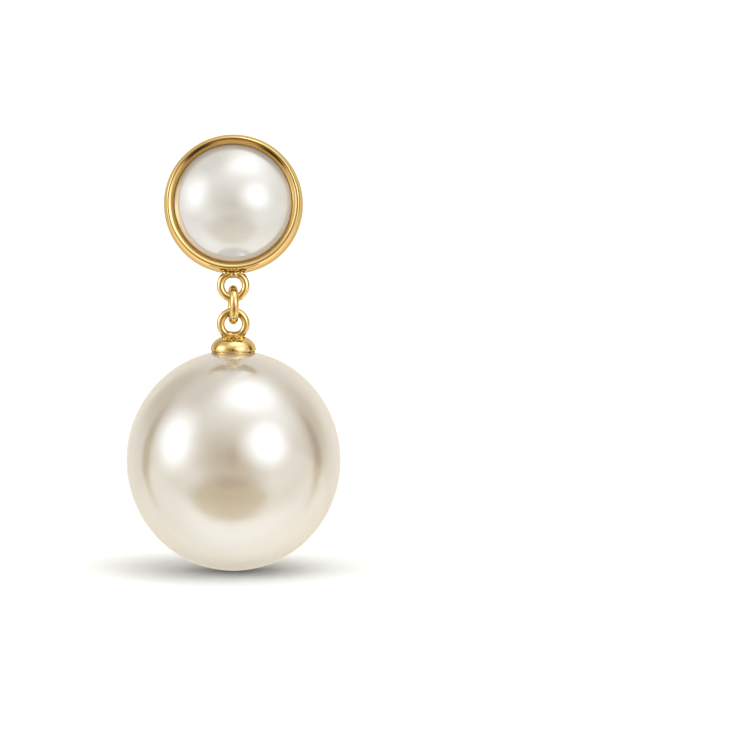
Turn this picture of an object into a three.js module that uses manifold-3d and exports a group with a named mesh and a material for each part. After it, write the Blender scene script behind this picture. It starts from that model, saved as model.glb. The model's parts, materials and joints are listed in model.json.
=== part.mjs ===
// A pearl drop earring: a round gold setting with a button pearl and an ear post, and a large pearl
// that hangs below it from a wire ring. Lengths are in millimetres. +X is right, +Z is up, and the
// earring faces -Y. The origin is the middle of the setting's flat back, where the post leaves it.

import * as THREE from 'three';
import { mergeVertices } from 'three/addons/utils/BufferGeometryUtils.js';
import Module from 'manifold-3d';

const wasm = await Module();
wasm.setup();

// The setting. Radii are from its own axis, and depths are forward from its back.
const SETTING_TILT = THREE.MathUtils.degToRad(8);
const SETTING_RADIUS = 6.5;
const BACK_ROUND = 0.7;
const WALL_DEPTH = 1.1;
const CREST_RADIUS = 6.05;
const CREST_DEPTH = 2.9;
const CUP_RADIUS = 5.52;
const CUP_FLOOR = 1.0;
const CUP_WALL_DEPTH = 2.3;

// The button pearl: a short upright edge under a dome that is part of a ball.
const BUTTON_RADIUS = 5.45;
const BUTTON_EDGE_DEPTH = 2.15;
const BUTTON_EDGE_SLOPE = THREE.MathUtils.degToRad(55);
const BUTTON_BACK_BEVEL = 0.25;

// The ear post and its blind socket.
const POST_RADIUS = 0.45;
const POST_REACH = 11;
const SOCKET_DEPTH = 0.7;

// The wires. A ring's radius is to the middle of its wire.
const LOOP_WIRE_RADIUS = 0.3675;
const LOOP_RADIUS = 1.165;
const LOOP_DEPTH = 1.5;
const LOOP_DROP = 7.64;
const LINK_WIRE_RADIUS = 0.41;
const LINK_RADIUS = 1.43;

// The cap: half of a flattened ball above its belly, with a loop over it and a peg under it.
const CAP_RADIUS = 2.11;
const CAP_HEIGHT = 1.48;
const CAP_LIP_RADIUS = 2.02;
const CAP_BELOW_LOOP = 2.47;
const PEG_RADIUS = 0.4;
const PEG_LENGTH = 4.2;

// The drop pearl, a little taller than it is wide.
const PEARL_RADIUS = 10.0;
const PEARL_HALF_HEIGHT = 10.3;
const PEARL_BELOW_BELLY = 10.29;

// Solder at the foot of each loop, as half widths along X, Y and Z.
const SETTING_SOLDER = new THREE.Vector3(0.95, 0.5, 0.5);
const SETTING_SOLDER_DROP = 6.45;
const CAP_SOLDER = new THREE.Vector3(1.1, 0.5, 0.42);
const CAP_SOLDER_BELOW_LOOP = 1.2;

// The free space between pieces that rest in or on each other.
const SEAT_GAP = 0.05;
const WIRE_GAP = 0.03;

// Fineness: flats round each piece, and steps along each curve in section.
const SETTING_SIDES = 64;
const PEARL_SIDES = 48;
const CAP_SIDES = 40;
const POST_SIDES = 16;
const WIRE_SIDES = 10;
const RING_SIDES = 40;
const SOLDER_SIDES = 16;
const INNER_RIM_STEPS = 5;
const OUTER_RIM_STEPS = 8;
const BACK_ROUND_STEPS = 4;
const BUTTON_DOME_STEPS = 10;
const POST_TIP_STEPS = 5;
const UNDERSIDE_STEPS = 4;
const CAP_DOME_STEPS = 9;
const PEARL_STEPS = 30;
const SOLDER_STEPS = 10;

// Corners closer than this are one corner.
const MERGE_DISTANCE = 1e-5;

const gold = new THREE.MeshStandardMaterial({ color: 0xd8b067, metalness: 1, roughness: 0.12 });
const pearl = new THREE.MeshStandardMaterial({ color: 0xe8e0d3, metalness: 0, roughness: 0.22 });

// Points on an ellipse from one angle to another, in degrees. Angle 0 is out from the axis and 90
// is up along it.
function ellipseArc(centreRadius, centreHeight, halfWidth, halfHeight, from, to, steps) {
  const points = [];
  for (let i = 0; i <= steps; i++) {
    const angle = THREE.MathUtils.degToRad(from + (to - from) * i / steps);
    const radius = centreRadius + halfWidth * Math.cos(angle);
    points.push(new THREE.Vector2(Math.max(radius, 0), centreHeight + halfHeight * Math.sin(angle)));
  }
  return points;
}

// A profile of radius and height turned round the Y axis. Its two ends are put on that axis, and it
// runs up its outer side.
function turned(profile, sides) {
  profile[0].x = 0;
  profile[profile.length - 1].x = 0;
  return new THREE.LatheGeometry(profile, sides);
}

// The same, turned round the Z axis.
function turnedUpright(profile, sides) {
  return turned(profile, sides).rotateX(Math.PI / 2);
}

function wireRing(ringRadius, wireRadius) {
  return new THREE.TorusGeometry(ringRadius, wireRadius, WIRE_SIDES, RING_SIDES);
}

function solderDrop(halfWidths) {
  const ball = new THREE.SphereGeometry(1, SOLDER_SIDES, SOLDER_STEPS);
  return ball.scale(halfWidths.x, halfWidths.y, halfWidths.z);
}

function toSolid(geometry) {
  const bare = geometry.clone();
  bare.deleteAttribute('normal');
  bare.deleteAttribute('uv');
  const merged = mergeVertices(bare, MERGE_DISTANCE);
  return new wasm.Manifold(new wasm.Mesh({
    numProp: 3,
    vertProperties: new Float32Array(merged.attributes.position.array),
    triVerts: new Uint32Array(merged.index.array),
  }));
}

// Joins shapes into one body, as solder does.
function soldered(geometries) {
  const body = geometries.map(toSolid).reduce((whole, next) => whole.add(next));
  const mesh = body.getMesh();
  const geometry = new THREE.BufferGeometry();
  geometry.setAttribute('position', new THREE.BufferAttribute(mesh.vertProperties, 3));
  geometry.setIndex(new THREE.BufferAttribute(mesh.triVerts, 1));
  geometry.computeVertexNormals();
  return geometry;
}

function piece(name, geometry, material) {
  const mesh = new THREE.Mesh(geometry, material);
  mesh.name = name;
  return mesh;
}

// The cup in section, from the middle of its floor, over the rim and round to the socket. Forward
// is down the profile's height.
function cupProfile() {
  const socketRadius = POST_RADIUS + SEAT_GAP;
  const rimWidthIn = CREST_RADIUS - CUP_RADIUS;
  const rimWidthOut = SETTING_RADIUS - CREST_RADIUS;
  const rimHeightIn = CREST_DEPTH - CUP_WALL_DEPTH;
  const rimHeightOut = CREST_DEPTH - WALL_DEPTH;
  const innerRim = ellipseArc(
    CREST_RADIUS, -CUP_WALL_DEPTH, rimWidthIn, rimHeightIn, 180, 270, INNER_RIM_STEPS);
  const outerRim = ellipseArc(
    CREST_RADIUS, -WALL_DEPTH, rimWidthOut, rimHeightOut, 270, 360, OUTER_RIM_STEPS);
  const back = ellipseArc(
    SETTING_RADIUS - BACK_ROUND, -BACK_ROUND, BACK_ROUND, BACK_ROUND, 0, 90, BACK_ROUND_STEPS);
  return [
    new THREE.Vector2(0, -CUP_FLOOR),
    new THREE.Vector2(CUP_RADIUS, -CUP_FLOOR),
    ...innerRim,
    ...outerRim.slice(1),
    ...back,
    new THREE.Vector2(socketRadius, 0),
    new THREE.Vector2(socketRadius, -SOCKET_DEPTH),
    new THREE.Vector2(0, -SOCKET_DEPTH),
  ];
}

function bezelSetting() {
  const cup = turned(cupProfile(), SETTING_SIDES);
  const loop = wireRing(LOOP_RADIUS, LOOP_WIRE_RADIUS);
  loop.rotateX(Math.PI / 2);
  loop.translate(0, -LOOP_DEPTH, -LOOP_DROP);
  const solder = solderDrop(SETTING_SOLDER);
  solder.translate(0, -LOOP_DEPTH, -SETTING_SOLDER_DROP);
  return piece('bezel_setting', soldered([cup, loop, solder]), gold);
}

function buttonPearl() {
  const ball = BUTTON_RADIUS / Math.sin(BUTTON_EDGE_SLOPE);
  const ballDepth = BUTTON_EDGE_DEPTH - ball * Math.cos(BUTTON_EDGE_SLOPE);
  const edge = THREE.MathUtils.radToDeg(BUTTON_EDGE_SLOPE);
  const back = -CUP_FLOOR - SEAT_GAP;
  const profile = [
    ...ellipseArc(0, -ballDepth, ball, ball, -90, edge - 90, BUTTON_DOME_STEPS),
    new THREE.Vector2(BUTTON_RADIUS, back - BUTTON_BACK_BEVEL),
    new THREE.Vector2(BUTTON_RADIUS - BUTTON_BACK_BEVEL, back),
    new THREE.Vector2(0, back),
  ];
  return piece('button_pearl', turned(profile, PEARL_SIDES), pearl);
}

function earPost() {
  const profile = [
    new THREE.Vector2(0, SEAT_GAP - SOCKET_DEPTH),
    new THREE.Vector2(POST_RADIUS, SEAT_GAP - SOCKET_DEPTH),
    ...ellipseArc(0, POST_REACH - POST_RADIUS, POST_RADIUS, POST_RADIUS, 0, 90, POST_TIP_STEPS),
  ];
  return piece('ear_post', turned(profile, POST_SIDES), gold);
}

function jumpLink() {
  const ring = wireRing(LINK_RADIUS, LINK_WIRE_RADIUS).rotateY(Math.PI / 2);
  return piece('jump_link', ring, gold);
}

function pearlHeightAt(radius) {
  return PEARL_HALF_HEIGHT * Math.sqrt(1 - (radius / PEARL_RADIUS) ** 2);
}

// Heights are from the pearl's middle. The hollow under the cap follows the pearl.
function capProfile() {
  const underside = [];
  for (let i = 0; i <= UNDERSIDE_STEPS; i++) {
    const radius = PEG_RADIUS + (CAP_LIP_RADIUS - PEG_RADIUS) * i / UNDERSIDE_STEPS;
    underside.push(new THREE.Vector2(radius, pearlHeightAt(radius) + SEAT_GAP));
  }
  const pegFoot = PEARL_HALF_HEIGHT - PEG_LENGTH;
  return [
    new THREE.Vector2(0, pegFoot),
    new THREE.Vector2(PEG_RADIUS, pegFoot),
    ...underside,
    ...ellipseArc(0, PEARL_BELOW_BELLY, CAP_RADIUS, CAP_HEIGHT, 0, 90, CAP_DOME_STEPS),
  ];
}

function pearlCap() {
  const loopHeight = PEARL_BELOW_BELLY + CAP_BELOW_LOOP;
  const cap = turnedUpright(capProfile(), CAP_SIDES);
  const loop = wireRing(LOOP_RADIUS, LOOP_WIRE_RADIUS).rotateX(Math.PI / 2);
  loop.translate(0, 0, loopHeight);
  const solder = solderDrop(CAP_SOLDER);
  solder.translate(0, 0, loopHeight - CAP_SOLDER_BELOW_LOOP);
  return piece('pearl_cap', soldered([cap, loop, solder]), gold);
}

// The pearl with the blind hole that takes the peg.
function dropPearl() {
  const holeRadius = PEG_RADIUS + SEAT_GAP;
  const holeFoot = PEARL_HALF_HEIGHT - PEG_LENGTH - SEAT_GAP;
  const brink = THREE.MathUtils.radToDeg(Math.acos(holeRadius / PEARL_RADIUS));
  const profile = [
    ...ellipseArc(0, 0, PEARL_RADIUS, PEARL_HALF_HEIGHT, -90, brink, PEARL_STEPS),
    new THREE.Vector2(holeRadius, holeFoot),
    new THREE.Vector2(0, holeFoot),
  ];
  return piece('drop_pearl', turnedUpright(profile, PEARL_SIDES), pearl);
}

const stud = new THREE.Group();
stud.add(bezelSetting(), buttonPearl(), earPost());
stud.rotation.x = -SETTING_TILT;

// The link hangs from the middle of the loop's lowest wire, and the cap's loop from the link's.
const hangPoint = new THREE.Vector3(0, -LOOP_DEPTH, -LOOP_DROP - LOOP_RADIUS).applyEuler(stud.rotation);
const wireStep = LOOP_WIRE_RADIUS + WIRE_GAP + LINK_WIRE_RADIUS;
const linkHeight = hangPoint.z + wireStep - LINK_RADIUS;
const capLoopHeight = linkHeight - LINK_RADIUS + wireStep - LOOP_RADIUS;

const link = jumpLink();
link.position.set(0, hangPoint.y, linkHeight);

const drop = new THREE.Group();
drop.add(pearlCap(), dropPearl());
drop.position.set(0, hangPoint.y, capLoopHeight - CAP_BELOW_LOOP - PEARL_BELOW_BELLY);

const earring = new THREE.Group();
earring.add(stud, link, drop);

export default earring;
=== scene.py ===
import json
import math

import bpy
import numpy as np
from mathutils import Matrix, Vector


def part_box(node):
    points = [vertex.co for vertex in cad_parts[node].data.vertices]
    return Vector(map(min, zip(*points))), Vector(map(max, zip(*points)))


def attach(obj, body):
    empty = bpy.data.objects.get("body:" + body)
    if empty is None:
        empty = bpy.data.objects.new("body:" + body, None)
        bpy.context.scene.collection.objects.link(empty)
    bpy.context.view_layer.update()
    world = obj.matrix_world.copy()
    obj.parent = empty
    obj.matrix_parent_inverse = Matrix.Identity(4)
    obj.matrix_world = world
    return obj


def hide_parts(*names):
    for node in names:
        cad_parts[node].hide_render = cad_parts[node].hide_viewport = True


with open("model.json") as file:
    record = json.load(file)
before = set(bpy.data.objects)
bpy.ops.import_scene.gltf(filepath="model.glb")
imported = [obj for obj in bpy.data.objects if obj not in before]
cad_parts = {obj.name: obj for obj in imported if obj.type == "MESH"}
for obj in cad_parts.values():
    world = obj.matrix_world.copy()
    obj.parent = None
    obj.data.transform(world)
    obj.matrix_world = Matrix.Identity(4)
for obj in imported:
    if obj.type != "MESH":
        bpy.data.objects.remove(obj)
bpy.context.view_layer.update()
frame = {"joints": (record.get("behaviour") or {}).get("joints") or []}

# Sizes are in millimetres unless a comment says otherwise, and MM turns them into metres.
MM = 0.001

# The gap round seated pieces, and a hair's breadth, to tell on which side of an edge a point lies.
SEAT_GAP = 0.05
HAIR = 0.01

# The setting. Depths are forward from its flat back, which faces the ear.
SETTING_TILT = math.radians(8)
SETTING_RADIUS = 6.495
BACK_ROUND = 0.7
WALL_DEPTH = 1.1
CREST_RADIUS = 6.05
CREST_DEPTH = 2.9
CUP_RADIUS = 5.52
CUP_FLOOR = 1.0
CUP_SIDES = 360

# The inner side of the rim: it rolls over by an angle, then runs straight down to the cup's wall.
ROLL_ROUND = 0.42
ROLL_DEGREES = 60.0

# Low waves that hand finishing has left round the rim: how many, phase in radians, height. They are
# FINISH_FORWARD times as high along the setting's axis as they are across it.
FINISH_WAVES = ((3, 0.6, 0.008), (7, 2.1, 0.006), (13, 0.0, 0.004))
FINISH_FORWARD = 1.5

# Painted reflection of gold in gold inside the rim, a deeper orange: how far inside the crest it starts, and
# how much farther in it is full.
PAINTED_REFLECTION_START = 0.27
PAINTED_REFLECTION_SPAN = 0.15

# Painted dark reflections: two dark crescents in the crease inside the rim, given as degrees clockwise from
# the top, and radius. They reach so many degrees to each side, and stay within CRESCENT_DEPTH of the crest.
CRESCENTS = ((-35.0, 5.85), (40.0, 5.82))
CRESCENT_WIDTH = 0.15
CRESCENT_REACH = 17.0
CRESCENT_DEPTH = 1.0

# The button pearl: an upright edge, a short round edge, a flatter shoulder and a ball-shaped crown.
# A slope is the angle between the surface and the setting's back.
BUTTON_RADIUS = 5.51
BUTTON_TOP_DEPTH = 4.985
BUTTON_CROWN_ROUND = 6.65
BUTTON_CROWN_SLOPE = math.radians(36)
BUTTON_SHOULDER_ROUND = 11.0
BUTTON_EDGE_SLOPE = math.radians(46.5)
BUTTON_EDGE_ROUND = 0.3
BUTTON_BACK_BEVEL = 0.25
BUTTON_SIDES = 192

# The ear post and its socket.
POST_RADIUS = 0.45
POST_REACH = 10.99
POST_SIDES = 48
SOCKET_DEPTH = 0.7
SOCKET_EDGE_ROUND = 0.08

# Wire rings, measured to the middle of the wire. The drop loop lies so far forward of the setting's back
# and so far below its axis.
LOOP_WIRE_RADIUS = 0.3675
LOOP_RADIUS = 1.165
LOOP_DEPTH = 1.5
LOOP_DROP = 7.64
LINK_WIRE_RADIUS = 0.41
LINK_RADIUS = 1.43
LINK_TURN = math.radians(6)
RING_STEPS = 240
WIRE_STEPS = 48

# Solder beads: how far right, how far down from the setting's axis or the cap loop's middle, half width.
# A bead's height is a share of its width, and its lumps are a share of its size.
SETTING_SOLDER = ((-0.62, 6.42, 0.42), (0.08, 6.56, 0.50), (0.68, 6.42, 0.40))
CAP_SOLDER = ((-0.66, 1.3, 0.40), (0.04, 1.2, 0.46), (0.68, 1.3, 0.42))
SETTING_SOLDER_HEIGHT = 0.8
CAP_SOLDER_HEIGHT = 0.72
SOLDER_HALF_DEPTH = 0.42
SOLDER_FORWARD = 0.1
SOLDER_LUMPS = 0.04
BEAD_ROWS = 24
BEAD_SIDES = 48

# How solder has crept up the wire of each loop: the most that it adds, and its spread in radians.
SETTING_CREEP = (0.12, 0.42)
CAP_CREEP = (0.10, 0.5)
CREEP_RIPPLE = 0.06

# The cap over the drop pearl. A groove parts its thin lip from its belly.
CAP_RADIUS = 2.11
CAP_LIP_RADIUS = 2.03
CAP_LIP_ROUND = 0.05
LIP_GAP = 0.01
GROOVE_INSET = 0.1
GROOVE_RISE = 0.12
BELLY_START_DEGREES = 275
UNDERSIDE_INSET = 0.04
PEG_RADIUS = 0.4
PEG_LENGTH = 4.2
CAP_SIDES = 160

# The drop pearl, and heights over its middle.
PEARL_RADIUS = 9.997
PEARL_HALF_HEIGHT = 10.3
PEARL_SIDES = 256
CAP_BELLY_HEIGHT = 10.39
CAP_TOP_HEIGHT = 11.77
CAP_LOOP_HEIGHT = 12.76

# Gold plating: two colours that it drifts between, a deeper orange painted inside the rim as a reflection of
# gold in gold, a near black painted in the crease as dark reflections, the tint of its edges, its roughness,
# and the height of its ripples in metres.
GOLD_COLOURS = ((0.90, 0.70, 0.33), (0.94, 0.74, 0.37))
PAINTED_REFLECTION_COLOUR = (0.95, 0.58, 0.15)
PAINTED_DARK_COLOUR = (0.03, 0.012, 0.004)
GOLD_EDGE_TINT = (0.64, 0.60, 0.46)
GOLD_ROUGHNESS = (0.05, 0.09)
GOLD_RIPPLE = 3e-6

# Pearl lacquer: body colours, the refractive index that gives its strong reflection, the tint of that
# reflection, and roughness. The thin clear coat is the same on both pearls. The ripple is in metres.
CREAM_COLOURS = ((0.68, 0.615, 0.52), (0.74, 0.67, 0.57))
CREAM_GLOSS_INDEX = 5.6
CREAM_GLOSS_TINT = (0.74, 0.86, 1.0)
CREAM_ROUGHNESS = 0.19
WHITE_COLOURS = ((0.68, 0.68, 0.67), (0.73, 0.73, 0.72))
WHITE_GLOSS_INDEX = 3.3
WHITE_GLOSS_TINT = (0.76, 0.87, 1.0)
WHITE_ROUGHNESS = 0.18
ROUGHNESS_DRIFT = 0.01
COAT_WEIGHT = 0.8
COAT_ROUGHNESS = 0.06
COAT_INDEX = 1.8
PEARL_RIPPLE = 0.3e-6

# Directions. The setting's own axes are tipped back, and the rest hangs plumb.
RIGHT = np.array([1.0, 0.0, 0.0])
BACKWARD = np.array([0.0, 1.0, 0.0])
UP = np.array([0.0, 0.0, 1.0])
SETTING_FORWARD = np.array([0.0, -math.cos(SETTING_TILT), math.sin(SETTING_TILT)])
SETTING_UP = np.array([0.0, math.sin(SETTING_TILT), math.cos(SETTING_TILT)])

# Places of what hangs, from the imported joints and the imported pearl.
joints = {joint["name"]: np.array(joint["pos_m"]) / MM for joint in frame["joints"]}
HANG_POINT = joints["link_swing"]
LINK_FOOT = joints["drop_swing"]
PEARL_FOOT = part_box("drop_pearl")[0][2] / MM
PEARL_MIDDLE = np.array([0.0, HANG_POINT[1], PEARL_FOOT + PEARL_HALF_HEIGHT])
LINK_MIDDLE = LINK_FOOT + LINK_RADIUS * UP
CAP_LOOP_MIDDLE = PEARL_MIDDLE + CAP_LOOP_HEIGHT * UP


def arc(centre, radii, start, end, steps):
    """Points on an ellipse with the given half widths, from one angle to another in degrees."""
    angle = np.radians(np.linspace(start, end, steps + 1))
    return np.stack([centre[0] + radii[0] * np.cos(angle), centre[1] + radii[1] * np.sin(angle)], axis=1)


def line(start, end, steps):
    """Points from start to end, closer together near both ends by the cosine rule."""
    share = 0.5 - 0.5 * np.cos(np.linspace(0, math.pi, steps + 1))
    return np.asarray(start) + share[:, None] * (np.asarray(end) - np.asarray(start))


def outline(*stretches):
    """The stretches one after another, with each repeated joint point left out once."""
    points = np.vstack(stretches)
    step = np.linalg.norm(np.diff(points, axis=0), axis=1)
    return points[np.concatenate([[True], step > 1e-7])]


def grid_faces(rows, columns, close_rows):
    """Four-cornered faces of a grid whose columns always join up, and whose rows may."""
    row = np.arange(rows if close_rows else rows - 1)[:, None]
    column = np.arange(columns)[None, :]
    next_row = (row + 1) % rows
    next_column = (column + 1) % columns
    corners = [
        row * columns + column,
        row * columns + next_column,
        next_row * columns + next_column,
        next_row * columns + column,
    ]
    return np.stack(np.broadcast_arrays(*corners), axis=-1).reshape(-1, 4)


def turned(profile, sides, centre, across, over, along, wobble=None):
    """A closed surface of revolution: centre + r cos(a) across + r sin(a) over + h along, where (r, h) runs
    along the profile and a runs round it. The profile's two ends lie on the axis and become single points.
    wobble(r, h, a) gives small changes to r and h."""
    angle = np.linspace(0, 2 * math.pi, sides, endpoint=False)[None, :]
    radius = np.repeat(profile[1:-1, 0:1], sides, axis=1)
    height = np.repeat(profile[1:-1, 1:2], sides, axis=1)
    if wobble:
        more_radius, more_height = wobble(radius, height, angle)
        radius = radius + more_radius
        height = height + more_height
    ring = (radius * np.cos(angle))[..., None] * across + (radius * np.sin(angle))[..., None] * over
    grid = centre + ring + height[..., None] * along
    rows = grid.shape[0]
    first = centre + profile[0, 1] * along
    last = centre + profile[-1, 1] * along
    points = np.vstack([grid.reshape(-1, 3), first, last])
    column = np.arange(sides)
    next_column = (column + 1) % sides
    first_fan = np.stack([np.full(sides, rows * sides), next_column, column], axis=1)
    last_row = (rows - 1) * sides
    last_fan = np.stack([np.full(sides, rows * sides + 1), last_row + column, last_row + next_column], axis=1)
    return points, [grid_faces(rows, sides, False), first_fan, last_fan]


def wire_ring(centre, radius, wire, outward, sideways, creep=None):
    """A ring of round wire: centre + (R + w cos b) e(a) + w sin b n, where e(a) turns from outward towards
    sideways, n stands on the ring's plane, and b runs round the wire. With creep = (most, spread), w grows
    near a = 0 by most exp(-(a / spread)^2) (1 + CREEP_RIPPLE sin(2b + 5a)), as where solder has crept up."""
    normal = np.cross(outward, sideways)
    around = np.linspace(-math.pi, math.pi, RING_STEPS, endpoint=False)[:, None]
    section = np.linspace(0, 2 * math.pi, WIRE_STEPS, endpoint=False)[None, :]
    thickness = np.full_like(around, wire)
    if creep:
        most, spread = creep
        ripple = 1 + CREEP_RIPPLE * np.sin(2 * section + 5 * around)
        thickness = wire + most * np.exp(-(around / spread) ** 2) * ripple
    spoke = np.cos(around)[..., None] * outward + np.sin(around)[..., None] * sideways
    reach = radius + thickness * np.cos(section)
    grid = centre + reach[..., None] * spoke + (thickness * np.sin(section))[..., None] * normal
    faces = grid_faces(RING_STEPS, WIRE_STEPS, True)[:, ::-1]
    return grid.reshape(-1, 3), [faces]


def solder_bead(centre, half_widths, across, over, along):
    """A lumpy ball. With r and h the distance from the axis and the height on a ball of radius 1, and a the
    angle round it, every point moves out along its own radius by the share
    SOLDER_LUMPS r (cos(3a + 1) + 0.5 cos(5a + 4h)). The ball is then stretched to its half widths."""
    lean = np.linspace(-math.pi / 2, math.pi / 2, BEAD_ROWS + 1)
    profile = np.stack([np.cos(lean), np.sin(lean)], axis=1)
    profile[[0, -1], 0] = 0.0

    def lumps(radius, height, angle):
        swell = SOLDER_LUMPS * radius * (np.cos(3 * angle + 1) + 0.5 * np.cos(5 * angle + 4 * height))
        return radius * swell, height * swell

    axes = [half_widths[0] * across, half_widths[1] * over, half_widths[2] * along]
    return turned(profile, BEAD_SIDES, centre, *axes, wobble=lumps)


def mesh_piece(name, shells, material, body, node):
    """One object from one or more closed shells, smooth all over, riding on a body for its CAD node."""
    points, faces, start = [], [], 0
    for shell_points, shell_faces in shells:
        points.append(shell_points * MM)
        faces.extend((patch + start).tolist() for patch in shell_faces)
        start += len(shell_points)
    mesh = bpy.data.meshes.new(name)
    mesh.from_pydata(np.vstack(points).tolist(), [], [face for patch in faces for face in patch])
    mesh.polygons.foreach_set("use_smooth", np.ones(len(mesh.polygons), dtype=bool))
    mesh.validate()
    mesh.update()
    piece = bpy.data.objects.new(name, mesh)
    bpy.context.collection.objects.link(piece)
    mesh.materials.append(material)
    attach(piece, body)
    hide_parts(node)
    return piece


def new_material(name):
    """A new material, its nodes, its links and its surface shader."""
    material = bpy.data.materials.new(name)
    material.use_nodes = True
    nodes = material.node_tree.nodes
    return material, nodes, material.node_tree.links, nodes["Principled BSDF"]


def reckon(nodes, links, kind, operation, *values):
    """The outputs of one step of arithmetic on numbers, vectors or the outputs of other steps."""
    step = nodes.new(kind)
    step.operation = operation
    for socket, value in zip(step.inputs, values):
        if isinstance(value, bpy.types.NodeSocket):
            links.new(value, socket)
        else:
            socket.default_value = value
    return step.outputs


def remap(nodes, links, value, start, end, low=0.0, high=1.0, kind="SMOOTHSTEP"):
    """A number that goes from low to high as the value goes from start to end, and stays level beyond."""
    spread = nodes.new("ShaderNodeMapRange")
    spread.interpolation_type = kind
    spread.inputs["From Min"].default_value = start
    spread.inputs["From Max"].default_value = end
    spread.inputs["To Min"].default_value = low
    spread.inputs["To Max"].default_value = high
    links.new(value, spread.inputs["Value"])
    return spread.outputs["Result"]


def noise(nodes, links, scale, detail):
    """A noise texture on Object coordinates. The scale is in waves per metre."""
    texture = nodes.new("ShaderNodeTexNoise")
    texture.inputs["Scale"].default_value = scale
    texture.inputs["Detail"].default_value = detail
    links.new(nodes.new("ShaderNodeTexCoord").outputs["Object"], texture.inputs["Vector"])
    return texture.outputs["Fac"]


def between(nodes, links, factor, low, high):
    """A number from low to high as the factor goes from 0.3 to 0.7, where a noise texture mostly lies."""
    return remap(nodes, links, factor, 0.3, 0.7, low, high, "LINEAR")


def blend_colour(nodes, links, factor, first, second):
    """A colour from the first to the second as the factor goes from 0.3 to 0.7."""
    mix = nodes.new("ShaderNodeMix")
    mix.data_type = "RGBA"
    mix.inputs["A"].default_value = (*first, 1)
    mix.inputs["B"].default_value = (*second, 1)
    links.new(between(nodes, links, factor, 0, 1), mix.inputs["Factor"])
    return mix.outputs["Result"]


def add_bump(nodes, links, shader, height, depth):
    """Relief of the given depth in metres."""
    bump = nodes.new("ShaderNodeBump")
    bump.inputs["Strength"].default_value = 1.0
    bump.inputs["Distance"].default_value = depth
    links.new(height, bump.inputs["Height"])
    links.new(bump.outputs["Normal"], shader.inputs["Normal"])


def polished_gold():
    """Gold plating over a polished casting: a slow drift in colour, faint haze and shallow ripples. Two
    attributes go from 0 to 1 and mix painted reflections over it: a deeper orange inside the rim, painted as
    the reflection of gold in gold, and near black crescents in the crease, painted as dark reflections."""
    material, nodes, links, shader = new_material("polished_gold")
    colour = blend_colour(nodes, links, noise(nodes, links, scale=260, detail=2), *GOLD_COLOURS)
    # Painted reflections: the deeper orange of gold in gold inside the rim, then the dark crescents in the
    # crease.
    for attribute, deeper in (("painted_gold_reflection", PAINTED_REFLECTION_COLOUR), ("painted_dark_reflection", PAINTED_DARK_COLOUR)):
        reader = nodes.new("ShaderNodeAttribute")
        reader.attribute_name = attribute
        deepen = nodes.new("ShaderNodeMix")
        deepen.data_type = "RGBA"
        deepen.inputs["B"].default_value = (*deeper, 1)
        links.new(colour, deepen.inputs["A"])
        links.new(reader.outputs["Fac"], deepen.inputs["Factor"])
        colour = deepen.outputs["Result"]
    links.new(colour, shader.inputs["Base Color"])
    haze = noise(nodes, links, scale=2600, detail=4)
    links.new(between(nodes, links, haze, *GOLD_ROUGHNESS), shader.inputs["Roughness"])
    shader.inputs["Metallic"].default_value = 1.0
    shader.inputs["Specular Tint"].default_value = (*GOLD_EDGE_TINT, 1)
    add_bump(nodes, links, shader, noise(nodes, links, scale=900, detail=3), GOLD_RIPPLE)
    return material


def pearl_coating(name, colours, gloss_index, gloss_tint, roughness):
    """Pearl lacquer over a bead: a milky body, a strong silvery gloss and a thin clear coat."""
    material, nodes, links, shader = new_material(name)
    colour = blend_colour(nodes, links, noise(nodes, links, scale=140, detail=3), *colours)
    links.new(colour, shader.inputs["Base Color"])
    haze = noise(nodes, links, scale=700, detail=3)
    haze = between(nodes, links, haze, roughness - ROUGHNESS_DRIFT, roughness + ROUGHNESS_DRIFT)
    links.new(haze, shader.inputs["Roughness"])
    shader.inputs["IOR"].default_value = gloss_index
    shader.inputs["Specular Tint"].default_value = (*gloss_tint, 1)
    shader.inputs["Coat Weight"].default_value = COAT_WEIGHT
    shader.inputs["Coat Roughness"].default_value = COAT_ROUGHNESS
    shader.inputs["Coat IOR"].default_value = COAT_INDEX
    add_bump(nodes, links, shader, noise(nodes, links, scale=1500, detail=2), PEARL_RIPPLE)
    return material


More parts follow.
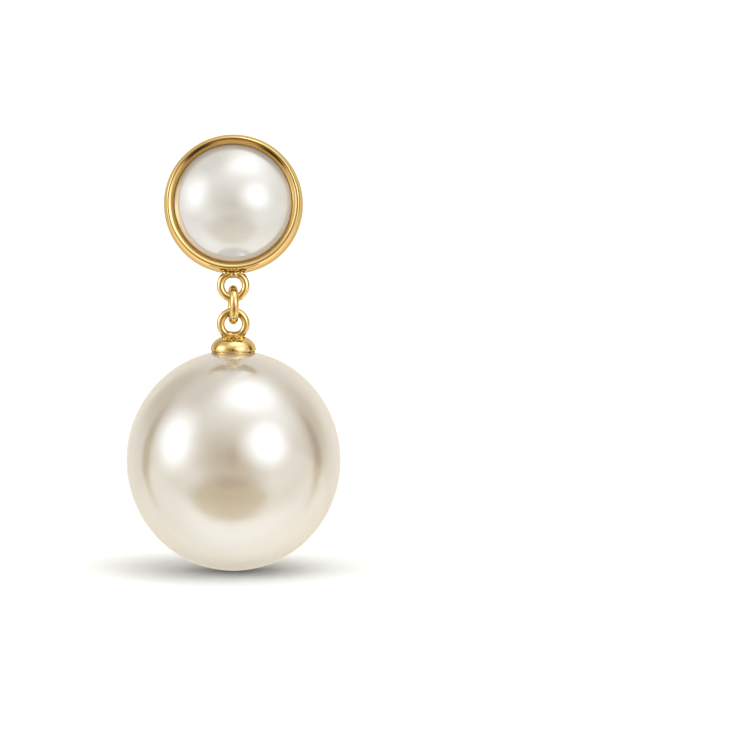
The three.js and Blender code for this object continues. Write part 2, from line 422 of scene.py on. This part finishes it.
def build_setting(gold):
    """The cup is a profile turned about the setting's axis: a blind socket with a round edge, the flat back,
    a round corner, a quarter of an ellipse up to the crest, the roll, the straight bevel, the cup's wall and
    its floor. Near the rim r and h move by the sum of rise sin(count a + phase) over the finishing waves.
    The drop loop and its solder are closed shells of their own in the same piece."""
    socket_radius = POST_RADIUS + SEAT_GAP
    edge = SOCKET_EDGE_ROUND
    outer_radii = (SETTING_RADIUS - CREST_RADIUS, CREST_DEPTH - WALL_DEPTH)
    roll_middle = (CREST_RADIUS, CREST_DEPTH - ROLL_ROUND)
    roll = arc(roll_middle, (ROLL_ROUND, ROLL_ROUND), 90, 90 + ROLL_DEGREES, 24)
    bevel_width, bevel_top = roll[-1, 0] - CUP_RADIUS, roll[-1, 1]
    bevel_foot = (CUP_RADIUS, bevel_top - bevel_width * math.tan(math.radians(ROLL_DEGREES)))
    profile = outline(
        line((0, SOCKET_DEPTH), (socket_radius, SOCKET_DEPTH), 3),
        line((socket_radius, SOCKET_DEPTH), (socket_radius, edge), 4),
        arc((socket_radius + edge, edge), (edge, edge), 180, 270, 4),
        line((socket_radius + edge, 0), (SETTING_RADIUS - BACK_ROUND, 0), 12),
        arc((SETTING_RADIUS - BACK_ROUND, BACK_ROUND), (BACK_ROUND, BACK_ROUND), 270, 360, 10),
        arc((CREST_RADIUS, WALL_DEPTH), outer_radii, 0, 90, 40),
        roll,
        line(roll[-1], bevel_foot, 10),
        line(bevel_foot, (CUP_RADIUS, CUP_FLOOR), 8),
        line((CUP_RADIUS, CUP_FLOOR), (0, CUP_FLOOR), 8),
    )

    def hand_finish(radius, height, angle):
        toward_crest = np.clip((height - WALL_DEPTH) / (CREST_DEPTH - WALL_DEPTH), 0, 1)
        at_rim = toward_crest * (radius > CUP_RADIUS - HAIR)
        wave = sum(rise * np.sin(count * angle + phase) for count, phase, rise in FINISH_WAVES)
        return wave * at_rim, FINISH_FORWARD * wave * at_rim

    axes = (RIGHT, SETTING_UP, SETTING_FORWARD)
    cup = turned(profile, CUP_SIDES, np.zeros(3), *axes, wobble=hand_finish)
    loop_middle = LOOP_DEPTH * SETTING_FORWARD - LOOP_DROP * SETTING_UP
    loop = wire_ring(loop_middle, LOOP_RADIUS, LOOP_WIRE_RADIUS, SETTING_UP, RIGHT, creep=SETTING_CREEP)
    beads = []
    for sideways, drop, half_width in SETTING_SOLDER:
        middle = sideways * RIGHT + (LOOP_DEPTH + SOLDER_FORWARD) * SETTING_FORWARD - drop * SETTING_UP
        half_widths = (half_width, SOLDER_HALF_DEPTH, SETTING_SOLDER_HEIGHT * half_width)
        beads.append(solder_bead(middle, half_widths, RIGHT, SETTING_FORWARD, -SETTING_UP))
    piece = mesh_piece("setting_metal", [cup, loop, *beads], gold, "stud", "bezel_setting")
    mark_painted_reflections(piece, len(cup[0]))


def mark_painted_reflections(piece, cup_points):
    """Two attributes of the cup that carry painted reflections, with d the distance from the setting's axis.
    The first, a painted reflection of gold in gold, is 0 on the open rim. It rises smoothly to 1 as d falls by
    its span from its start inside the crest. The second, painted dark reflections, is two crescents inside the
    rim: exp(-((d - r) / width)^2) exp(-((a - a0) / reach)^4), with a clockwise from the top."""
    mesh = piece.data
    place = np.empty(len(mesh.vertices) * 3)
    mesh.vertices.foreach_get("co", place)
    place = place.reshape(-1, 3) / MM
    across = place @ RIGHT
    over = place @ SETTING_UP
    depth = place @ SETTING_FORWARD
    distance = np.hypot(across, over)
    clock = np.degrees(np.arctan2(across, over))
    on_cup = np.arange(len(place)) < cup_points
    # Painted reflection of gold in gold: a deeper orange inside the rim.
    share = np.clip((CREST_RADIUS - PAINTED_REFLECTION_START - distance) / PAINTED_REFLECTION_SPAN, 0, 1)
    painted_gold_reflection = share * share * (3 - 2 * share) * (on_cup & (depth > CUP_FLOOR - HAIR))
    # Painted dark reflections: two near black crescents in the crease inside the rim.
    crescents = np.zeros(len(place))
    for middle, radius in CRESCENTS:
        across_it = np.exp(-((distance - radius) / CRESCENT_WIDTH) ** 2)
        crescents += across_it * np.exp(-((clock - middle) / CRESCENT_REACH) ** 4)
    painted_dark_reflection = crescents * (on_cup & (depth > CREST_DEPTH - CRESCENT_DEPTH))
    for name, values in (("painted_gold_reflection", painted_gold_reflection), ("painted_dark_reflection", painted_dark_reflection)):
        mesh.attributes.new(name, "FLOAT", "POINT").data.foreach_set("value", values)


def build_button_pearl(coating):
    """The dome is three arcs that run on into one another: with s the slope, each goes from the last one's
    end to r = r0 + R (sin s - sin s0), h = h0 - R (cos s0 - cos s)."""

    def dome_arc(foot, round_radius, first_slope, last_slope, steps):
        slope = np.linspace(first_slope, last_slope, steps + 1)
        radius = foot[0] + round_radius * (np.sin(slope) - math.sin(first_slope))
        height = foot[1] - round_radius * (math.cos(first_slope) - np.cos(slope))
        return np.stack([radius, height], axis=1)

    crown = dome_arc((0.0, BUTTON_TOP_DEPTH), BUTTON_CROWN_ROUND, 0.0, BUTTON_CROWN_SLOPE, 60)
    shoulder = dome_arc(crown[-1], BUTTON_SHOULDER_ROUND, BUTTON_CROWN_SLOPE, BUTTON_EDGE_SLOPE, 24)
    edge = dome_arc(shoulder[-1], BUTTON_EDGE_ROUND, BUTTON_EDGE_SLOPE, math.pi / 2, 10)
    dome = outline(crown, shoulder, edge)
    dome[:, 0] *= BUTTON_RADIUS / dome[-1, 0]
    back = CUP_FLOOR + SEAT_GAP
    corner = BUTTON_RADIUS - BUTTON_BACK_BEVEL
    profile = outline(
        line((0, back), (corner, back), 6),
        arc((corner, back + BUTTON_BACK_BEVEL), (BUTTON_BACK_BEVEL, BUTTON_BACK_BEVEL), 270, 360, 6),
        dome[::-1],
    )
    shell = turned(profile, BUTTON_SIDES, np.zeros(3), RIGHT, SETTING_UP, SETTING_FORWARD)
    mesh_piece("button_pearl_skin", [shell], coating, "stud", "button_pearl")


def build_post(gold):
    """A turned pin: a flat foot in the socket, a straight side and a tip that is half a ball."""
    foot = SEAT_GAP - SOCKET_DEPTH
    profile = outline(
        line((0, foot), (POST_RADIUS, foot), 3),
        line((POST_RADIUS, foot), (POST_RADIUS, POST_REACH - POST_RADIUS), 24),
        arc((0, POST_REACH - POST_RADIUS), (POST_RADIUS, POST_RADIUS), 0, 90, 12),
    )
    profile[-1, 0] = 0.0
    shell = turned(profile, POST_SIDES, np.zeros(3), -RIGHT, SETTING_UP, -SETTING_FORWARD)
    mesh_piece("post_pin", [shell], gold, "stud", "ear_post")


def build_link(gold):
    """A plain wire ring that stands fore and aft, turned a little about the upright axis."""
    backward = math.cos(LINK_TURN) * BACKWARD - math.sin(LINK_TURN) * RIGHT
    shell = wire_ring(LINK_MIDDLE, LINK_RADIUS, LINK_WIRE_RADIUS, UP, backward)
    mesh_piece("link_wire", [shell], gold, "link", "jump_link")


def pearl_height(radius):
    """Height of the pearl's surface over its middle at a distance from its axis."""
    return PEARL_HALF_HEIGHT * np.sqrt(1 - (radius / PEARL_RADIUS) ** 2)


def build_cap(gold):
    """The dome is a profile turned about the upright axis: the peg, an underside that follows the pearl at
    h = pearl_height(r) + SEAT_GAP, half a circle for the lip, the groove, and two parts of ellipses that
    meet at the belly. The loop and its solder are closed shells of their own in the same piece."""
    radii = np.linspace(PEG_RADIUS, CAP_LIP_RADIUS - UNDERSIDE_INSET, 16)
    underside = np.stack([radii, pearl_height(radii) + SEAT_GAP], axis=1)
    lip_foot = pearl_height(CAP_LIP_RADIUS) + LIP_GAP
    lip_middle = (CAP_LIP_RADIUS - CAP_LIP_ROUND, lip_foot + CAP_LIP_ROUND)
    groove = (CAP_LIP_RADIUS - GROOVE_INSET, lip_foot + GROOVE_RISE)
    lower_radii = (CAP_RADIUS - groove[0], CAP_BELLY_HEIGHT - groove[1])
    peg_foot = PEARL_HALF_HEIGHT - PEG_LENGTH
    profile = outline(
        line((0, peg_foot), (PEG_RADIUS, peg_foot), 3),
        line((PEG_RADIUS, peg_foot), underside[0], 6),
        underside,
        arc(lip_middle, (CAP_LIP_ROUND, CAP_LIP_ROUND), 270, 450, 12),
        [groove],
        arc((groove[0], CAP_BELLY_HEIGHT), lower_radii, BELLY_START_DEGREES, 360, 10),
        arc((0, CAP_BELLY_HEIGHT), (CAP_RADIUS, CAP_TOP_HEIGHT - CAP_BELLY_HEIGHT), 0, 90, 48),
    )
    profile[-1, 0] = 0.0
    dome = turned(profile, CAP_SIDES, PEARL_MIDDLE, RIGHT, BACKWARD, UP)
    loop = wire_ring(CAP_LOOP_MIDDLE, LOOP_RADIUS, LOOP_WIRE_RADIUS, -UP, -RIGHT, creep=CAP_CREEP)
    beads = []
    for sideways, drop, half_width in CAP_SOLDER:
        middle = CAP_LOOP_MIDDLE + sideways * RIGHT - SOLDER_FORWARD * BACKWARD - drop * UP
        half_widths = (half_width, SOLDER_HALF_DEPTH, CAP_SOLDER_HEIGHT * half_width)
        beads.append(solder_bead(middle, half_widths, RIGHT, BACKWARD, UP))
    mesh_piece("cap_metal", [dome, loop, *beads], gold, "drop", "pearl_cap")


def build_drop_pearl(coating):
    """An ellipsoid turned about the upright axis, r = R cos e and h = H sin e, drilled from above for the
    peg with a flat-bottomed hole."""
    hole = PEG_RADIUS + SEAT_GAP
    hole_foot = PEARL_HALF_HEIGHT - PEG_LENGTH - SEAT_GAP
    brink = math.degrees(math.acos(hole / PEARL_RADIUS))
    profile = outline(
        arc((0, 0), (PEARL_RADIUS, PEARL_HALF_HEIGHT), -90, brink, 180),
        line((hole, pearl_height(hole)), (hole, hole_foot), 6),
        line((hole, hole_foot), (0, hole_foot), 3),
    )
    profile[0, 0] = 0.0
    shell = turned(profile, PEARL_SIDES, PEARL_MIDDLE, RIGHT, BACKWARD, UP)
    mesh_piece("drop_pearl_skin", [shell], coating, "drop", "drop_pearl")


# Colours of the studio's light: warm off its walls, golden off the floor behind, plain from its lamps. A
# dark patch takes away slightly more blue than red, which leaves a brown shade.
WARM = (1.0, 0.88, 0.73)
GOLDEN = (1.0, 0.76, 0.47)
PLAIN = (1.0, 0.99, 0.97)
BROWN_SHADE = (0.94, 0.97, 0.99)

# The studio's even light, and the patches that are lighter or darker than it, as seen from the earring:
# name, azimuth, elevation, half width, half height (degrees), softness of the outline, light added, colour.
ROOM_LIGHT = 0.62
STUDIO_PATCHES = (
    ("ceiling", 33.5, 57.0, 49.5, 29.0, 0.5, 0.60, PLAIN),
    ("top_lamp", 51.5, 74.0, 23.5, 20.0, 0.56, 0.68, PLAIN),
    ("left_lamp", -69.0, 20.0, 20.0, 22.5, 0.58, 1.06, PLAIN),
    ("right_lamp", 37.5, 18.5, 23.0, 18.5, 0.52, 1.14, PLAIN),
    ("top_lamp_core", 51.5, 74.0, 7.0, 6.0, 0.4, 2.4, PLAIN),
    ("left_lamp_core", -69.0, 20.0, 5.0, 9.0, 0.4, 2.5, PLAIN),
    ("right_lamp_core", 37.5, 18.5, 6.0, 7.0, 0.4, 2.5, PLAIN),
    ("dark_front", 0.0, 13.5, 33.0, 47.5, 0.46, -0.41, BROWN_SHADE),
    ("dark_lens", 0.0, 8.0, 6.0, 11.0, 0.4, -0.15, BROWN_SHADE),
    ("dark_floor", -4.0, -36.0, 38.5, 24.5, 0.22, -0.48, BROWN_SHADE),
    ("dim_floor", 8.0, -44.5, 78.0, 14.5, 0.38, -0.24, BROWN_SHADE),
    ("dark_left_side", -130.0, 36.0, 15.5, 22.5, 0.51, -0.25, BROWN_SHADE),
    ("dark_right_side", 108.5, 23.5, 19.0, 31.0, 0.52, -0.36, BROWN_SHADE),
    ("dark_left_edge", -107.0, 4.0, 6.5, 30.0, 0.5, -0.50, BROWN_SHADE),
    ("dark_right_edge", 104.0, 2.0, 6.5, 30.0, 0.5, -0.50, BROWN_SHADE),
    ("bright_floor", 4.0, -63.0, 66.5, 45.5, 0.55, 0.73, WARM),
    ("back_wall", 180.0, 8.0, 55.0, 30.0, 0.5, 0.38, WARM),
    ("back_floor", 180.0, -48.0, 60.0, 28.0, 0.5, 0.40, GOLDEN),
    ("back_ceiling", 180.0, 62.0, 60.0, 26.0, 0.5, 0.10, PLAIN),
)
DARKEST = 0.03

# Light from below keeps only this share once it has bounced more often than this.
UNDER_SHADE = 0.2
FULL_BOUNCES = 2

# The photograph's view: the middle of its frame, its scale and the height of the eye.
FRAME_PIXELS = 750
PIXELS_PER_MM = 10.73
EYE_HEIGHT = math.radians(5)
EYE_DISTANCE = 420.0
AIM = np.array([13.2, HANG_POINT[1], -15.69])
SENSOR_WIDTH = 36.0
NEAREST_SEEN = 10.0

# The floor lies just under the pearl and glows faintly though it is no lamp, less near the spot under it than
# far from it, which paints a wide soft shadow round that spot.
FLOOR_GAP = 0.02
FLOOR_REACH = 1500.0
FLOOR_COLOUR = (0.91, 0.96, 1.0)
GLOW_COLOUR = (0.80, 0.90, 1.0)
PAINTED_SHADOW_INNER = 2.0
PAINTED_SHADOW_OUTER = 20.0
GLOW_IN_PAINTED_SHADOW = 0.03
GLOW_OUTSIDE_PAINTED_SHADOW = 0.34

# The pale wall all round.
WALL_DISTANCE = 1450.0
WALL_HEIGHT = 900.0
WALL_SIDES = 64
WALL_LIGHT = 1.1


def place_camera():
    """A camera at the photograph's viewing angle. Its focal length is to the sensor's width as its distance
    is to the width that the frame takes in."""
    camera = bpy.data.cameras.new("camera")
    camera.sensor_width = SENSOR_WIDTH
    camera.lens = SENSOR_WIDTH * EYE_DISTANCE / (FRAME_PIXELS / PIXELS_PER_MM)
    camera.clip_start = NEAREST_SEEN * MM
    eye = bpy.data.objects.new("camera", camera)
    back = np.array([0.0, -math.cos(EYE_HEIGHT), math.sin(EYE_HEIGHT)])
    eye.location = Vector((AIM + EYE_DISTANCE * back) * MM)
    eye.rotation_euler = (math.pi / 2 - EYE_HEIGHT, 0, 0)
    bpy.context.collection.objects.link(eye)
    bpy.context.scene.camera = eye


def stage_mesh(name, points, faces, material):
    """A sheet of the studio, which isn't part of the earring."""
    mesh = bpy.data.meshes.new(name)
    mesh.from_pydata((np.asarray(points) * MM).tolist(), [], np.asarray(faces).tolist())
    mesh.update()
    sheet = bpy.data.objects.new(name, mesh)
    bpy.context.collection.objects.link(sheet)
    mesh.materials.append(material)
    return sheet


def build_floor():
    """A pale floor that glows a little though it is no lamp, more so the farther it is from the earring, which
    paints a soft shadow under it: with d the distance from the spot under it, the glow grows smoothly from the
    painted shadow's inner radius to its outer radius."""
    material, nodes, links, shader = new_material("floor_white")
    shader.inputs["Base Color"].default_value = (*FLOOR_COLOUR, 1)
    shader.inputs["Roughness"].default_value = 0.8
    shader.inputs["Specular IOR Level"].default_value = 0.1
    shader.inputs["Emission Color"].default_value = (*GLOW_COLOUR, 1)
    height = float(PEARL_FOOT - FLOOR_GAP)
    painted_shadow_middle = (0.0, float(HANG_POINT[1]) * MM, height * MM)
    place = nodes.new("ShaderNodeTexCoord").outputs["Object"]
    distance = reckon(nodes, links, "ShaderNodeVectorMath", "DISTANCE", place, painted_shadow_middle)["Value"]
    # Painted shadow: the floor's glow is weaker near the spot under the earring.
    glow_with_painted_shadow = remap(nodes, links, distance, PAINTED_SHADOW_INNER * MM, PAINTED_SHADOW_OUTER * MM, GLOW_IN_PAINTED_SHADOW, GLOW_OUTSIDE_PAINTED_SHADOW)
    links.new(glow_with_painted_shadow, shader.inputs["Emission Strength"])
    signs = ((-1, -1), (1, -1), (1, 1), (-1, 1))
    corners = [(x * FLOOR_REACH, y * FLOOR_REACH, height) for x, y in signs]
    floor = stage_mesh("floor", corners, [(0, 1, 2, 3)], material)
    floor.visible_glossy = False


def build_surround():
    """A round wall, far off, that gives off even light and that only the camera sees."""
    material, *_, shader = new_material("wall_light")
    shader.inputs["Base Color"].default_value = (0, 0, 0, 1)
    shader.inputs["Specular IOR Level"].default_value = 0.0
    shader.inputs["Emission Color"].default_value = (1, 1, 1, 1)
    shader.inputs["Emission Strength"].default_value = WALL_LIGHT
    turn = np.linspace(0, 2 * math.pi, WALL_SIDES, endpoint=False)
    heights = np.full(WALL_SIDES, PEARL_FOOT)
    foot = np.stack([WALL_DISTANCE * np.sin(turn), WALL_DISTANCE * np.cos(turn), heights], axis=-1)
    points = np.concatenate([foot, foot + WALL_HEIGHT * UP])
    wall = stage_mesh("surround", points, grid_faces(2, WALL_SIDES, False), material)
    wall.visible_diffuse = False
    wall.visible_glossy = False
    wall.visible_shadow = False


def direction(azimuth, elevation):
    """The way to a point of the studio: azimuth 0 is towards the viewer and grows to the right, in degrees."""
    turn, rise = math.radians(azimuth), math.radians(elevation)
    return np.array([math.sin(turn) * math.cos(rise), -math.cos(turn) * math.cos(rise), math.sin(rise)])


def studio_patch(nodes, links, way, azimuth, elevation, half_width, half_height, softness):
    """How far a direction lies inside an oval patch of the studio, from 0 to 1. With s and o the patch's own
    sideways and upward axes, the size q = hypot(d.s / sin(half width), d.o / sin(half height)) is 1 on its
    outline, and the patch fades smoothly from q = 1 - softness to q = 1 + softness on the near side only."""
    toward = direction(azimuth, elevation)
    side = np.cross(toward, UP)
    side /= np.linalg.norm(side)
    over = np.cross(side, toward)

    def along(axis):
        return reckon(nodes, links, "ShaderNodeVectorMath", "DOT_PRODUCT", way, tuple(axis))["Value"]

    pair = nodes.new("ShaderNodeCombineXYZ")
    links.new(along(side / math.sin(math.radians(half_width))), pair.inputs["X"])
    links.new(along(over / math.sin(math.radians(half_height))), pair.inputs["Y"])
    size = reckon(nodes, links, "ShaderNodeVectorMath", "LENGTH", pair.outputs["Vector"])["Value"]
    fade = remap(nodes, links, size, 1 + softness, 1 - softness)
    near_side = reckon(nodes, links, "ShaderNodeMath", "GREATER_THAN", along(toward), 0.0)["Value"]
    return reckon(nodes, links, "ShaderNodeMath", "MULTIPLY", fade, near_side)["Value"]


def build_studio():
    """The studio all round: even soft light, brighter or darker in the named patches. Light from below that
    has bounced more than FULL_BOUNCES times, as what the pearl passes on to the floor has, is cut down to
    UNDER_SHADE of itself, so that the floor is dark where the pearl meets it."""
    world = bpy.data.worlds.new("studio")
    world.use_nodes = True
    nodes, links = world.node_tree.nodes, world.node_tree.links
    background = nodes["Background"]
    way = nodes.new("ShaderNodeTexCoord").outputs["Generated"]
    room = nodes.new("ShaderNodeCombineXYZ")
    for socket, part in zip(room.inputs, WARM):
        socket.default_value = ROOM_LIGHT * part
    total = room.outputs["Vector"]
    for name, azimuth, elevation, half_width, half_height, softness, light, colour in STUDIO_PATCHES:
        patch = studio_patch(nodes, links, way, azimuth, elevation, half_width, half_height, softness)
        added = tuple(light * part for part in colour)
        total = reckon(nodes, links, "ShaderNodeVectorMath", "MULTIPLY_ADD", patch, added, total)["Vector"]
        total.node.label = name
    total = reckon(nodes, links, "ShaderNodeVectorMath", "MAXIMUM", total, (DARKEST,) * 3)["Vector"]
    links.new(total, background.inputs["Color"])
    depth = nodes.new("ShaderNodeLightPath").outputs["Ray Depth"]
    late = reckon(nodes, links, "ShaderNodeMath", "GREATER_THAN", depth, FULL_BOUNCES + 0.5)["Value"]
    parts = nodes.new("ShaderNodeSeparateXYZ")
    links.new(way, parts.inputs["Vector"])
    below = reckon(nodes, links, "ShaderNodeMath", "LESS_THAN", parts.outputs["Z"], 0.0)["Value"]
    both = reckon(nodes, links, "ShaderNodeMath", "MULTIPLY", late, below)["Value"]
    strength = reckon(nodes, links, "ShaderNodeMath", "MULTIPLY_ADD", both, UNDER_SHADE - 1.0, 1.0)["Value"]
    links.new(strength, background.inputs["Strength"])
    bpy.context.scene.world = world


gold = polished_gold()
cream = pearl_coating("cream_pearl", CREAM_COLOURS, CREAM_GLOSS_INDEX, CREAM_GLOSS_TINT, CREAM_ROUGHNESS)
white = pearl_coating("white_pearl", WHITE_COLOURS, WHITE_GLOSS_INDEX, WHITE_GLOSS_TINT, WHITE_ROUGHNESS)

build_setting(gold)
build_button_pearl(white)
build_post(gold)
build_link(gold)
build_cap(gold)
build_drop_pearl(cream)

place_camera()
build_floor()
build_surround()
build_studio()
bpy.context.scene.view_settings.view_transform = "Standard"
